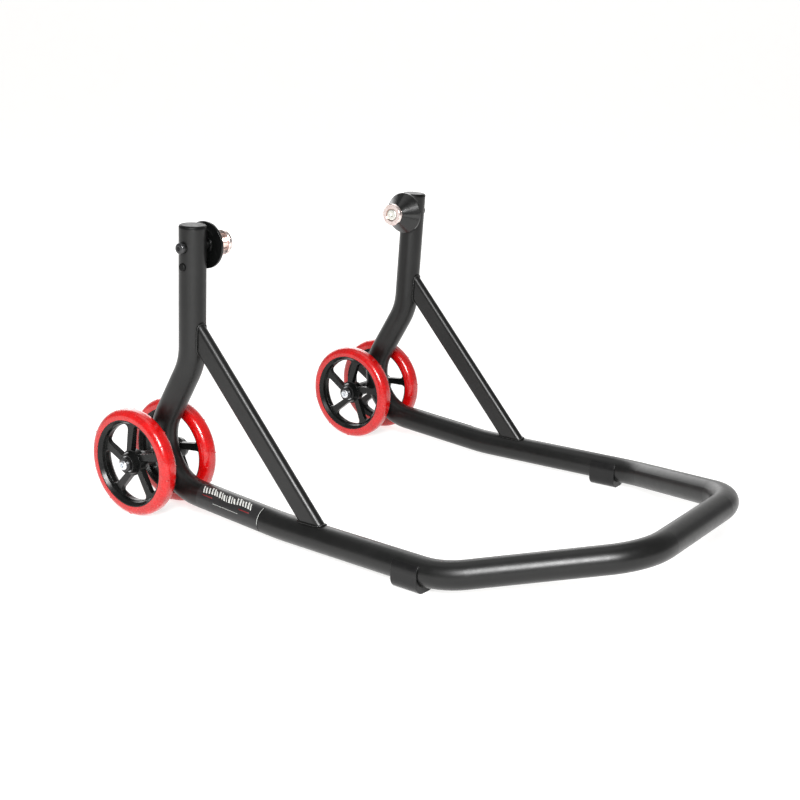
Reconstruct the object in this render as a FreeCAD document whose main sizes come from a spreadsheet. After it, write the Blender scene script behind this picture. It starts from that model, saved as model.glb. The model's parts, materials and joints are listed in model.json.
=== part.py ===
import FreeCAD, Part
import math
import os
import re

import Sketcher

Vector = FreeCAD.Vector
Rotation = FreeCAD.Rotation

# A rear paddock stand. The row frame has X across the stand, +Y towards the wheels and +Z up.
# The floor is z = 0, and the origin is in the middle of the stand's box. Left is -X.
X_AXIS = Vector(1, 0, 0)
Y_AXIS = Vector(0, 1, 0)
Z_AXIS = Vector(0, 0, 1)
Z_TO_X = Rotation(Y_AXIS, 90)
Z_TO_MINUS_Y = Rotation(X_AXIS, 90)
SIDES = {"left": -1, "right": 1}

SIZES = [
    # the bent frame tube, by the corners of its centre line
    ("tube_od", 35.0, "outside diameter of the frame tube"),
    ("tube_wall", 2.0, "wall of the frame tube"),
    ("stand_length", 763.0, "from the back of the handle to the front of the wheels"),
    ("top_x", 235.5, "half distance between the upright tops"),
    ("top_y", 224.3, "upright top"),
    ("top_z", 387.0, "upright top, under its cap"),
    ("rail_x", 232.5, "half distance between the rails at the wheels"),
    ("knee_y", 233.8, "bend in the middle of the upright"),
    ("knee_z", 213.6, "bend in the middle of the upright"),
    ("heel_y", 334.6, "corner between upright and rail"),
    ("heel_z", 45.0, "corner between upright and rail"),
    ("rail_y", 83.0, "slight bend where the rail levels out"),
    ("rail_z", 24.8, "height of the level rail"),
    ("corner_x", 241.5, "corner between rail and handle"),
    ("corner_y", -166.6, "corner between rail and handle"),
    ("grip_x", 121.5, "corner of the handle bar"),
    ("grip_z", 63.5, "height of the handle bar"),
    ("knee_bend", 82.5, "bend radius at the knee"),
    ("heel_bend", 67.0, "bend radius at the heel"),
    ("rail_bend", 300.0, "bend radius in the rail"),
    ("corner_bend", 92.5, "bend radius between rail and handle"),
    ("grip_bend", 76.0, "bend radius of the handle bar"),
    # the braces
    ("brace_depth", 30.0, "brace section in the plane of the side"),
    ("brace_width", 14.0, "brace section across the stand"),
    ("brace_wall", 1.5, "brace wall"),
    ("brace_corner", 6.9, "rounding of the narrow sides of the brace"),
    ("brace_x", 233.5, "brace, from the middle of the stand"),
    ("brace_top_y", 224.0, "brace centre line at the upright"),
    ("brace_top_z", 255.3, "brace centre line at the upright"),
    ("brace_foot_y", 18.7, "brace centre line at the rail"),
    ("brace_foot_z", 25.0, "brace centre line at the rail"),
    # the end caps of the uprights
    ("cap_height", 4.0, "cap above the tube's end"),
    ("cap_round", 3.0, "rounding of the cap's edge"),
    ("cap_stem", 14.0, "cap inside the tube"),
    ("cap_fit", 0.1, "radial clearance of the stem in the tube"),
    # wheels and their axles
    ("wheel_od", 144.0, "wheel diameter"),
    ("wheel_offset", 36.75, "wheel from the tube's centre line"),
    ("tyre_width", 23.0, "tyre width"),
    ("tyre_round", 9.0, "rounding of the tread's edges"),
    ("lip_od", 117.8, "rim lip diameter"),
    ("lip_width", 22.4, "over the rim lips"),
    ("lip_thick", 2.0, "rim lip thickness"),
    ("seat_od", 113.0, "seat of the tyre between the lips"),
    ("lip_edge", 1.5, "flat edge of a rim lip"),
    ("dish_inset", 4.0, "step inside the rim, from a lip's face"),
    ("dish_step", 1.5, "step inside the rim, above the barrel"),
    ("barrel_id", 105.0, "inside of the rim at its middle"),
    ("hub_width", 28.0, "over the hub's faces"),
    ("hub_od", 26.4, "hub diameter at its faces"),
    ("hub_root", 32.0, "hub diameter at the spokes"),
    ("spoke_rim_width", 6.5, "spoke thickness at the rim"),
    ("spoke_hub_width", 9.0, "spoke thickness at the hub"),
    ("spoke_count", 5, "spokes of a wheel"),
    ("window_root", 35.0, "inside diameter of the windows"),
    ("window_tip", 104.0, "outside diameter of the windows"),
    ("window_root_half", 21.0, "half angle of a window at its root"),
    ("window_tip_half", 30.0, "half angle of a window at its tip"),
    ("spoke_sweep", 16.0, "angle from a spoke's root to its tip"),
    ("window_tip_round", 6.0, "rounding of a window's corners at the rim"),
    # 608 ball bearings
    ("bearing_od", 22.0, "bearing outside diameter"),
    ("bearing_bore", 8.0, "bearing bore"),
    ("bearing_width", 7.0, "bearing width"),
    ("bearing_face", 12.0, "outer face of a bearing from the wheel's middle"),
    ("bearing_shoulder", 1.5, "shoulder between the bearings' seats"),
    ("outer_race", 19.2, "inside of the outer ring"),
    ("inner_race", 12.1, "outside of the inner ring"),
    ("ball_pitch", 15.5, "pitch diameter of the balls"),
    ("ball_od", 3.97, "ball diameter"),
    ("groove_round", 2.03, "radius of the race grooves"),
    ("ball_count", 7, "balls in a bearing"),
    ("seal_thick", 0.5, "seal thickness"),
    ("seal_lip", 0.3, "gap between a seal and the inner ring"),
    ("seal_inset", 0.2, "seal below the bearing's face"),
    ("spacer_od", 11.0, "sleeve between the inner rings"),
    # axles
    ("axle_od", 7.9, "axle diameter"),
    ("axle_bush_od", 20.0, "bush welded behind the bend"),
    ("axle_bush_bore", 8.2, "bore of that bush"),
    ("axle_bush_length", 44.0, "length of that bush"),
    ("washer_od", 19.0, "washer under an axle head"),
    ("washer_boss", 11.8, "boss of that washer"),
    ("washer_boss_height", 0.5, "boss of that washer"),
    ("washer_thick", 4.6, "washer thickness with its boss"),
    ("gap_ring_od", 15.0, "ring between bush and wheel"),
    ("axle_head_od", 13.6, "axle head"),
    ("axle_head_height", 5.0, "axle head"),
    ("axle_head_round", 3.0, "rounding of the axle head"),
    ("axle_socket", 5.0, "hexagon socket, across flats"),
    ("axle_socket_depth", 2.4, "hexagon socket"),
    ("axle_screw_od", 5.1, "screw in the axle's end"),
    ("axle_thread_bore", 5.2, "threaded hole in the axle's end"),
    ("axle_thread_depth", 16.0, "threaded hole in the axle's end"),
    ("axle_screw_reach", 14.0, "screw in the axle's end"),
    ("axle_end_play", 0.5, "axle's end short of the screw's head"),
    # the supports at the upright tops
    ("support_z", 363.0, "axis of the supports"),
    ("support_bush_od", 14.0, "bush through the upright"),
    ("support_bush_bore", 8.2, "bore of that bush"),
    ("bush_out", 20.0, "bush end outside, from the tube's centre line"),
    ("bush_in", 21.0, "bush end inside, from the tube's centre line"),
    ("bolt_od", 8.0, "support bolt"),
    ("bolt_head_od", 14.6, "support bolt head"),
    ("bolt_head_height", 4.6, "support bolt head"),
    ("bolt_head_round", 3.2, "rounding of the support bolt head"),
    ("cone_od", 60.0, "guard cone at its rim"),
    ("cone_rim", 3.0, "thickness of the cone's rim"),
    ("cone_length", 20.5, "guard cone, back face to nose"),
    ("cone_nose_od", 23.0, "guard cone at its nose"),
    ("cone_bore", 8.2, "bore of the cone"),
    ("cone_recess_od", 40.0, "recess in the cone's back"),
    ("cone_recess_depth", 1.0, "recess in the cone's back"),
    ("cone_hub_od", 22.0, "hub of the cone inside that recess"),
    ("spool_gap", 0.3, "play at each end of the spool"),
    ("spool_length", 13.5, "spool length"),
    ("spool_back_od", 22.0, "back flange of the spool"),
    ("spool_back_thick", 2.0, "back flange of the spool"),
    ("spool_neck_od", 19.0, "neck of the spool"),
    ("spool_flange_od", 32.0, "front flange of the spool"),
    ("spool_flange_thick", 5.2, "front flange of the spool"),
    ("spool_flange_bevel", 0.8, "bevel of the front flange"),
    ("spool_bore", 12.1, "bore of the spool"),
    ("spool_recess_od", 19.5, "recess in the spool's face"),
    ("spool_recess_depth", 3.7, "recess in the spool's face"),
    ("nut_shank_od", 12.0, "shank that the spool turns on"),
    ("nut_bore", 8.1, "thread of the sleeve nut"),
    ("nut_head_od", 17.0, "head of the sleeve nut"),
    ("nut_head_height", 3.4, "head of the sleeve nut"),
    ("nut_head_round", 2.0, "rounding of that head"),
    ("nut_bottom", 2.6, "sleeve nut under its socket"),
    ("nut_socket", 6.0, "hexagon socket, across flats"),
    ("nut_socket_depth", 3.0, "hexagon socket"),
    # spare holes below the supports and their plugs
    ("spare_z", 339.0, "axis of the spare holes"),
    ("spare_hole", 8.0, "spare hole"),
    ("plug_head_od", 10.6, "plug head"),
    ("plug_head_height", 2.4, "plug head"),
    ("plug_head_round", 2.0, "rounding of the plug head"),
    ("plug_seat", 0.15, "plug head off the leaning tube"),
    ("plug_stem_od", 7.8, "plug stem"),
    ("plug_stem_length", 5.0, "plug stem"),
    # feet
    ("foot_length", 38.0, "foot along the rail"),
    ("foot_y", -125.5, "middle of the foot"),
    ("foot_wall", 1.6, "wall of the foot around the rail"),
    ("foot_fit", 0.05, "radial clearance of the foot on the rail"),
    ("foot_pad_width", 38.0, "pad under the rail"),
    ("foot_pad_round", 14.0, "rounding of the pad's long edges"),
    ("foot_mouth", 104.0, "opening angle of the foot's top"),
    # labels on the rails
    ("label_start", 109.5, "label's end towards the handle"),
    ("label_length", 107.0, "label along the rail"),
    ("label_thick", 0.3, "label thickness"),
    ("label_fit", 0.05, "adhesive between tube and label"),
    ("label_low", -45.0, "lower edge, as an angle from the rail's side"),
    ("label_span", 125.0, "angle covered by the label"),
]

# Angle of one spoke's tip above +Y, about +X, as each wheel stands at rest.
WHEELS = {
    "left_outer": (-1, 1, 90.0),
    "left_inner": (-1, -1, 94.0),
    "right_inner": (1, -1, 99.0),
    "right_outer": (1, 1, 97.0),
}

BENDS = ["knee_bend", "heel_bend", "rail_bend", "corner_bend", "grip_bend"]

# A face counts as level when the cosine between its normal and +Z is larger than this.
COSINE_UP = 0.9

doc = FreeCAD.newDocument("PaddockStand")
sheet = doc.addObject("Spreadsheet::Sheet", "Sizes")
for row, (alias, number, note) in enumerate(SIZES, start=1):
    sheet.set("A%d" % row, alias)
    sheet.set("B%d" % row, str(number))
    sheet.set("C%d" % row, note)
    sheet.setAlias("B%d" % row, alias)
doc.recompute()

nodes = []
ALIAS = re.compile(r"\b(%s)\b" % "|".join(alias for alias, _, _ in SIZES))


def value(expression):
    """The number that an expression of the sheet's cells gives now."""
    return float(sheet.evalExpression(expression))


def cells(expression):
    """An expression in the sheet's names, as objects outside the sheet write it."""
    return ALIAS.sub(r"Sizes.\1", expression)


def bind(obj, prop, expression):
    obj.setExpression(prop, cells(expression))


def put(obj, x, y, z, rotation=None):
    """Place an object by three expressions and a fixed rotation."""
    obj.Placement = FreeCAD.Placement(Vector(), rotation or Rotation())
    for axis, expression in zip("xyz", (x, y, z)):
        bind(obj, "Placement.Base." + axis, expression)


def keep(obj, label):
    """Register a finished sub-part under the name of its node."""
    obj.Label = label
    nodes.append(obj)
    return obj


def origin_feature(body, role):
    return next(item for item in body.Origin.OriginFeatures if item.Role == role)


def sketch_on(body, role, name):
    sketch = body.newObject("Sketcher::SketchObject", name)
    sketch.AttachmentSupport = [(origin_feature(body, role), "")]
    sketch.MapMode = "FlatFace"
    return sketch


def pin_point(sketch, line, end, h, v):
    """Tie one end of a sketch line to a place given by two expressions."""
    for kind, expression in (("DistanceX", h), ("DistanceY", v)):
        number = value(expression)
        index = sketch.addConstraint(Sketcher.Constraint(kind, -1, 1, line, end, number))
        bind(sketch, "Constraints[%d]" % index, expression)


def outline(sketch, corners):
    """A closed outline of straight lines through corners given as pairs of expressions."""
    points = [Vector(value(h), value(v), 0) for h, v in corners]
    lines = []
    for start, end in zip(points, points[1:] + points[:1]):
        lines.append(sketch.addGeometry(Part.LineSegment(start, end), False))
    for line, following in zip(lines, lines[1:] + lines[:1]):
        sketch.addConstraint(Sketcher.Constraint("Coincident", line, 2, following, 1))
    for line, (h, v) in zip(lines, corners):
        pin_point(sketch, line, 1, h, v)


def new_body(name):
    body = doc.addObject("PartDesign::Body", name)
    body.AllowCompound = True
    return body


def turned(name, *outlines):
    """A body turned about its own X axis: outlines are pairs of (along X, radius)."""
    body = new_body(name)
    sketch = sketch_on(body, "XY_Plane", name + "_section")
    for corners in outlines:
        outline(sketch, corners)
    turn = body.newObject("PartDesign::Revolution", name + "_turn")
    turn.Profile = sketch
    turn.ReferenceAxis = (sketch, ["H_Axis"])
    turn.Angle = 360
    doc.recompute()
    return body


def circles_at(shape, radius, along):
    """Names of the round edges of one radius at one place along X."""
    names = []
    for index, edge in enumerate(shape.Edges, start=1):
        curve = edge.Curve
        if isinstance(curve, Part.Circle) and abs(curve.Radius - radius) < 1e-4:
            if abs(curve.Center.x - along) < 1e-4:
                names.append("Edge%d" % index)
    return names


def edges_along_x(shape, radius):
    """Names of the straight edges that run along X at one radius."""
    names = []
    for index, edge in enumerate(shape.Edges, start=1):
        middle = edge.CenterOfMass
        if isinstance(edge.Curve, Part.Line) and abs(edge.Curve.Direction.x) > 1 - 1e-6:
            if abs(math.hypot(middle.y, middle.z) - radius) < 1e-3:
                names.append("Edge%d" % index)
    return names


def round_edge(body, radius, along, size):
    """Round the circular edge at (along, radius), all three given as expressions."""
    names = circles_at(body.Shape, value(radius), value(along))
    base = body.Tip
    fillet = body.newObject("PartDesign::Fillet", body.Name + "_round")
    fillet.Base = (base, names)
    bind(fillet, "Radius", size)
    body.Tip = fillet
    doc.recompute()


def hex_socket(body, face_x, flats, depth, outward):
    """A hexagon socket sunk into the flat face at face_x."""
    sketch = sketch_on(body, "YZ_Plane", body.Name + "_hexagon")
    half = flats + "/2"
    corner = flats + "/sqrt(3)"
    outline(sketch, [
        (half, corner + "/2"), ("0", corner), ("-" + half, corner + "/2"),
        ("-" + half, "-" + corner + "/2"), ("0", "-" + corner), (half, "-" + corner + "/2"),
    ])
    bind(sketch, "AttachmentOffset.Base.z", face_x)
    pocket = body.newObject("PartDesign::Pocket", body.Name + "_socket")
    pocket.Profile = sketch
    bind(pocket, "Length", depth)
    pocket.Reversed = outward < 0
    before = body.Shape.Volume
    doc.recompute()
    body.Tip = pocket
    doc.recompute()
    if body.Shape.Volume >= before:
        raise RuntimeError(body.Name + ": the socket cuts nothing")


def cylinder(name, radius, height):
    solid = doc.addObject("Part::Cylinder", name)
    bind(solid, "Radius", radius)
    bind(solid, "Height", height)
    return solid


def cut(name, base, tool):
    result = doc.addObject("Part::Cut", name)
    result.Base = base
    result.Tool = tool
    return result


def fuse(name, parts):
    result = doc.addObject("Part::MultiFuse", name)
    result.Shapes = parts
    return result


def frame_corner(side, x, y, z):
    return Vector(side * value(x), value(y), value(z))


def half_path(side):
    """Corners of the centre line of one half of the frame, from the top to the handle."""
    return [
        frame_corner(side, "top_x", "top_y", "top_z"),
        frame_corner(side, "rail_x", "knee_y", "knee_z"),
        frame_corner(side, "rail_x", "heel_y", "heel_z"),
        frame_corner(side, "rail_x", "rail_y", "rail_z"),
        frame_corner(side, "corner_x", "corner_y", "rail_z"),
        frame_corner(side, "grip_x", "tube_od/2-stand_length/2", "grip_z"),
    ]


def rounded_wire(corners, radii):
    """Straight runs between the corners, joined by tangent arcs."""
    edges = []
    start = corners[0]
    for before, corner, after, radius in zip(corners, corners[1:], corners[2:], radii):
        to_before = (before - corner).normalize()
        to_after = (after - corner).normalize()
        half_angle = to_before.getAngle(to_after) / 2
        reach = radius / math.tan(half_angle)
        middle = (to_before + to_after).normalize()
        entry = corner + to_before * reach
        exit_point = corner + to_after * reach
        deepest = corner + middle * (radius / math.sin(half_angle) - radius)
        edges.append(Part.LineSegment(start, entry).toShape())
        edges.append(Part.Arc(entry, deepest, exit_point).toShape())
        start = exit_point
    edges.append(Part.LineSegment(start, corners[-1]).toShape())
    return Part.Wire(edges)


def upright_x(z):
    """Expression for the upright's distance from the middle of the stand at a height."""
    return "(rail_x+(top_x-rail_x)*(%s-knee_z)/(top_z-knee_z))" % z


def upright_y(z):
    return "(knee_y+(top_y-knee_y)*(%s-knee_z)/(top_z-knee_z))" % z


def add_frame():
    """The one bent tube: both uprights, both rails and the handle."""
    left = half_path(-1)
    right = half_path(1)
    bends = [value(name) for name in BENDS]
    path = doc.addObject("Part::Feature", "frame_path")
    path.Shape = rounded_wire(left + right[::-1], bends + bends[::-1])
    start = FreeCAD.Placement(left[0], Rotation(Z_AXIS, left[1] - left[0]))
    sweeps = []
    for name, radius in (("outside", "tube_od/2"), ("inside", "tube_od/2-tube_wall")):
        ring = doc.addObject("Part::Circle", "frame_ring_" + name)
        bind(ring, "Radius", radius)
        ring.Placement = start
        sweep = doc.addObject("Part::Sweep", "frame_" + name)
        sweep.Sections = [ring]
        sweep.Spine = (path, [])
        sweep.Solid = True
        sweep.Frenet = False
        sweeps.append(sweep)
    drills = []
    for side in SIDES.values():
        for size, height in (("support_bush_od", "support_z"), ("spare_hole", "spare_z")):
            drill = cylinder("drill", size + "/2", "2*tube_od")
            x = "%d*%s-tube_od" % (side, upright_x(height))
            put(drill, x, upright_y(height), height, Z_TO_X)
            drills.append(drill)
    hollow = cut("frame_hollow", sweeps[0], sweeps[1])
    keep(cut("frame", hollow, fuse("frame_drills", drills)), "frame_tube")
    return sweeps[0]


def add_brace(name, side, frame_solid):
    """A flat oval tube between upright and rail, its ends coped to the round tube."""
    drop = "(brace_top_z-brace_foot_z)"
    run = "(brace_top_y-brace_foot_y)"
    length = "sqrt(%s^2+%s^2)" % (drop, run)
    top = Vector(0, value("brace_top_y"), value("brace_top_z"))
    foot = Vector(0, value("brace_foot_y"), value("brace_foot_z"))
    turn = Rotation(X_AXIS, Vector(0, 0, 0), top - foot, "XZY")
    body = new_body("brace_bar_" + name)
    sketch = sketch_on(body, "XY_Plane", "brace_section")
    half_x = "brace_width/2"
    half_y = "brace_depth/2"
    outline(sketch, [
        ("-" + half_x, "-" + half_y), (half_x, "-" + half_y), (half_x, half_y), ("-" + half_x, half_y),
    ])
    pad = body.newObject("PartDesign::Pad", "brace_bar")
    pad.Profile = sketch
    bind(pad, "Length", length)
    doc.recompute()
    corners = []
    for index, edge in enumerate(pad.Shape.Edges, start=1):
        if edge.Length > 2 * value("brace_depth"):
            corners.append("Edge%d" % index)
    rounding = body.newObject("PartDesign::Fillet", "brace_corners")
    rounding.Base = (pad, corners)
    bind(rounding, "Radius", "brace_corner")
    body.Tip = rounding
    doc.recompute()
    hollow = body.newObject("PartDesign::Thickness", "brace_hollow")
    ends = []
    for index, face in enumerate(rounding.Shape.Faces, start=1):
        if abs(face.normalAt(0, 0).z) > COSINE_UP:
            ends.append("Face%d" % index)
    hollow.Base = (rounding, ends)
    bind(hollow, "Value", "brace_wall")
    hollow.Reversed = True
    body.Tip = hollow
    put(body, "%d*brace_x" % side, "brace_foot_y", "brace_foot_z", turn)
    keep(cut("brace_" + name, body, frame_solid), "brace_" + name)


def add_cap(name, side):
    """The plastic cap that closes an upright, turned and then stood on the tube's end."""
    stem = "tube_od/2-tube_wall-cap_fit"
    cap = turned("cap_" + name, [
        ("-cap_stem", "0"), ("cap_height", "0"), ("cap_height", "tube_od/2"), ("0", "tube_od/2"),
        ("0", stem), ("-cap_stem", stem),
    ])
    round_edge(cap, "tube_od/2", "cap_height", "cap_round")
    top, knee = half_path(side)[:2]
    put(cap, "%d*top_x" % side, "top_y", "top_z", Rotation(X_AXIS, top - knee))
    keep(cap, "tube_cap_" + name)


def outboard(side):
    """Rotation that points a turned part's own X away from the middle of the stand."""
    return Rotation() if side > 0 else Rotation(Z_AXIS, 180)


def add_plugs(name, side):
    """A domed plug in the spare hole of each wall of the upright."""
    head = "tube_od/2+plug_seat"
    tip = head + "-plug_stem_length"
    crown = head + "+plug_head_height"
    plugs = []
    for place, turn in (("outside", outboard(side)), ("inside", outboard(-side))):
        plug = turned("plug_%s_%s" % (name, place), [
            (tip, "0"), (crown, "0"), (crown, "plug_head_od/2"), (head, "plug_head_od/2"),
            (head, "plug_stem_od/2"), (tip, "plug_stem_od/2"),
        ])
        round_edge(plug, "plug_head_od/2", crown, "plug_head_round")
        put(plug, "%d*%s" % (side, upright_x("spare_z")), upright_y("spare_z"), "spare_z", turn)
        plugs.append(plug)
    group = doc.addObject("Part::Compound", "plugs_" + name)
    group.Links = plugs
    keep(group, "hole_plugs_" + name)


def add_support(name, side):
    """Bush, bolt, guard cone, spool and sleeve nut at the top of one upright."""
    turn = outboard(side)
    x = "%d*%s" % (side, upright_x("support_z"))
    back = "-bush_in"
    nose = back + "-cone_length"
    spool_back = nose + "-spool_gap"
    spool_face = spool_back + "-spool_length"
    recess = spool_face + "+spool_recess_depth"
    nut_seat = recess + "-spool_gap"
    nut_face = nut_seat + "-nut_head_height"

    bush = turned("support_bush_" + name, [
        (back, "support_bush_bore/2"), ("bush_out", "support_bush_bore/2"),
        ("bush_out", "support_bush_od/2"), (back, "support_bush_od/2"),
    ])

    bolt_face = "bush_out+bolt_head_height"
    bolt = turned("support_bolt_" + name, [
        (nut_face + "+nut_socket_depth+nut_bottom", "0"), (bolt_face, "0"), (bolt_face, "bolt_head_od/2"),
        ("bush_out", "bolt_head_od/2"), ("bush_out", "bolt_od/2"),
        (nut_face + "+nut_socket_depth+nut_bottom", "bolt_od/2"),
    ])
    round_edge(bolt, "bolt_head_od/2", bolt_face, "bolt_head_round")
    hex_socket(bolt, bolt_face, "axle_socket", "axle_socket_depth", 1)

    cone = turned("support_cone_" + name, [
        (back, "cone_bore/2"), (back, "cone_hub_od/2"),
        (back + "-cone_recess_depth", "cone_hub_od/2"), (back + "-cone_recess_depth", "cone_recess_od/2"),
        (back, "cone_recess_od/2"), (back, "cone_od/2"), (back + "-cone_rim", "cone_od/2"),
        (nose, "cone_nose_od/2"), (nose, "cone_bore/2"),
    ])

    spool = turned("support_spool_" + name, [
        (spool_back, "spool_bore/2"), (spool_back, "spool_back_od/2"),
        (spool_back + "-spool_back_thick", "spool_back_od/2"),
        (spool_back + "-spool_back_thick", "spool_neck_od/2"),
        (spool_face + "+spool_flange_thick", "spool_neck_od/2"),
        (spool_face + "+spool_flange_thick", "spool_flange_od/2-spool_flange_bevel"),
        (spool_face + "+spool_flange_thick-spool_flange_bevel", "spool_flange_od/2"),
        (spool_face + "+spool_flange_bevel", "spool_flange_od/2"),
        (spool_face, "spool_flange_od/2-spool_flange_bevel"),
        (spool_face, "spool_recess_od/2"), (recess, "spool_recess_od/2"), (recess, "spool_bore/2"),
    ])

    nut = turned("support_nut_" + name, [
        (nose, "nut_bore/2"), (nose, "nut_shank_od/2"), (nut_seat, "nut_shank_od/2"),
        (nut_seat, "nut_head_od/2"), (nut_face, "nut_head_od/2"), (nut_face, "0"),
        (nut_face + "+nut_socket_depth+nut_bottom", "0"),
        (nut_face + "+nut_socket_depth+nut_bottom", "nut_bore/2"),
    ])
    round_edge(nut, "nut_head_od/2", nut_face, "nut_head_round")
    hex_socket(nut, nut_face, "nut_socket", "nut_socket_depth", -1)

    pieces = {"bush": bush, "bolt": bolt, "cone": cone, "spool": spool, "nut": nut}
    for piece, body in pieces.items():
        put(body, x, upright_y("support_z"), "support_z", turn)
        keep(body, "support_%s_%s" % (piece, name))


def axle_place():
    return "stand_length/2-wheel_od/2", "wheel_od/2"


def add_axle(name, side, frame_solid):
    """The welded bush behind the bend, and the axle through it with its rings and screw."""
    turn = outboard(side)
    y, z = axle_place()
    x = "%d*rail_x" % side
    half_bush = "axle_bush_length/2"
    inner_seat = "wheel_offset-bearing_face"
    outer_seat = "wheel_offset+bearing_face"
    head_seat = outer_seat + "+washer_thick"
    head_face = head_seat + "+axle_head_height"

    bush = turned("axle_sleeve_" + name, [
        ("-" + half_bush, "axle_bush_bore/2"), (half_bush, "axle_bush_bore/2"),
        (half_bush, "axle_bush_od/2"), ("-" + half_bush, "axle_bush_od/2"),
    ])
    put(bush, x, y, z, turn)
    keep(cut("axle_bush_" + name, bush, frame_solid), "axle_bush_" + name)

    end = "-(" + head_seat + ")+axle_end_play"
    axle = turned("axle_" + name, [
        (end, "axle_thread_bore/2"), (end + "+axle_thread_depth", "axle_thread_bore/2"),
        (end + "+axle_thread_depth", "0"), (head_face, "0"), (head_face, "axle_head_od/2"),
        (head_seat, "axle_head_od/2"), (head_seat, "axle_od/2"), (end, "axle_od/2"),
    ])
    screw = turned("axle_screw_" + name, [
        (head_seat + "-axle_screw_reach", "0"), (head_face, "0"), (head_face, "axle_head_od/2"),
        (head_seat, "axle_head_od/2"), (head_seat, "axle_screw_od/2"),
        (head_seat + "-axle_screw_reach", "axle_screw_od/2"),
    ])
    for body in (axle, screw):
        round_edge(body, "axle_head_od/2", head_face, "axle_head_round")
        hex_socket(body, head_face, "axle_socket", "axle_socket_depth", 1)
    put(axle, x, y, z, turn)
    put(screw, x, y, z, outboard(-side))
    keep(axle, "axle_" + name)
    keep(screw, "axle_screw_" + name)

    def both_ways(corners):
        """The outline and its mirror image, for a ring at each end of the axle."""
        flipped = [("-(%s)" % along, radius) for along, radius in corners]
        return corners, flipped

    washers = turned("axle_washers_" + name, *both_ways([
        (outer_seat, "axle_bush_bore/2"), (head_seat, "axle_bush_bore/2"), (head_seat, "washer_od/2"),
        (outer_seat + "+washer_boss_height", "washer_od/2"),
        (outer_seat + "+washer_boss_height", "washer_boss/2"), (outer_seat, "washer_boss/2"),
    ]))
    rings = turned("gap_rings_" + name, *both_ways([
        (half_bush, "axle_bush_bore/2"), (inner_seat, "axle_bush_bore/2"),
        (inner_seat, "washer_boss/2"), (inner_seat + "-washer_boss_height", "washer_boss/2"),
        (inner_seat + "-washer_boss_height", "gap_ring_od/2"), (half_bush, "gap_ring_od/2"),
    ]))
    for body, label in ((washers, "axle_washers_"), (rings, "wheel_gap_rings_")):
        put(body, x, y, z, turn)
        keep(body, label + name)


def add_window(body):
    """One window between two spokes, and its pattern around the hub."""
    sketch = sketch_on(body, "YZ_Plane", body.Name + "_window")
    middle_tip = "180/spoke_count"
    middle_root = middle_tip + "-spoke_sweep"
    places = []
    for radius, middle, half in (
            ("window_tip/2", middle_tip, "window_tip_half"),
            ("window_root/2", middle_root, "window_root_half")):
        for sign in ("-", "+"):
            angle = "(%s%s%s)" % (middle, sign, half)
            places.append(("%s*cos(%s)" % (radius, angle), "%s*sin(%s)" % (radius, angle)))
    tip_low, tip_high, root_low, root_high = places
    arcs = []
    for radius, low, high in (("window_tip/2", tip_low, tip_high), ("window_root/2", root_low, root_high)):
        angles = [math.atan2(value(v), value(h)) for h, v in (low, high)]
        circle = Part.Circle(Vector(), Z_AXIS, value(radius))
        arc = sketch.addGeometry(Part.ArcOfCircle(circle, angles[0], angles[1]), False)
        sketch.addConstraint(Sketcher.Constraint("Coincident", arc, 3, -1, 1))
        index = sketch.addConstraint(Sketcher.Constraint("Radius", arc, value(radius)))
        bind(sketch, "Constraints[%d]" % index, radius)
        for end, (h, v) in ((1, low), (2, high)):
            index = sketch.addConstraint(Sketcher.Constraint("DistanceY", -1, 1, arc, end, value(v)))
            bind(sketch, "Constraints[%d]" % index, v)
        arcs.append(arc)
    for end in (1, 2):
        points = [sketch.getPoint(arc, end) for arc in arcs]
        line = sketch.addGeometry(Part.LineSegment(points[0], points[1]), False)
        sketch.addConstraint(Sketcher.Constraint("Coincident", line, 1, arcs[0], end))
        sketch.addConstraint(Sketcher.Constraint("Coincident", line, 2, arcs[1], end))
    window = body.newObject("PartDesign::Pocket", body.Name + "_opening")
    window.Profile = sketch
    window.Type = 1
    window.Midplane = True
    before = body.Shape.Volume
    doc.recompute()
    if body.Shape.Volume >= before:
        raise RuntimeError(body.Name + ": the window cuts nothing")
    pattern = body.newObject("PartDesign::PolarPattern", body.Name + "_windows")
    pattern.Originals = [window]
    pattern.Axis = (origin_feature(body, "X_Axis"), [""])
    pattern.Angle = 360
    bind(pattern, "Occurrences", "spoke_count")
    body.Tip = pattern
    doc.recompute()
    corners = edges_along_x(body.Shape, value("window_tip/2"))
    fillet = body.newObject("PartDesign::Fillet", body.Name + "_window_corners")
    fillet.Base = (pattern, corners)
    bind(fillet, "Radius", "window_tip_round")
    body.Tip = fillet
    doc.recompute()


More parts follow.
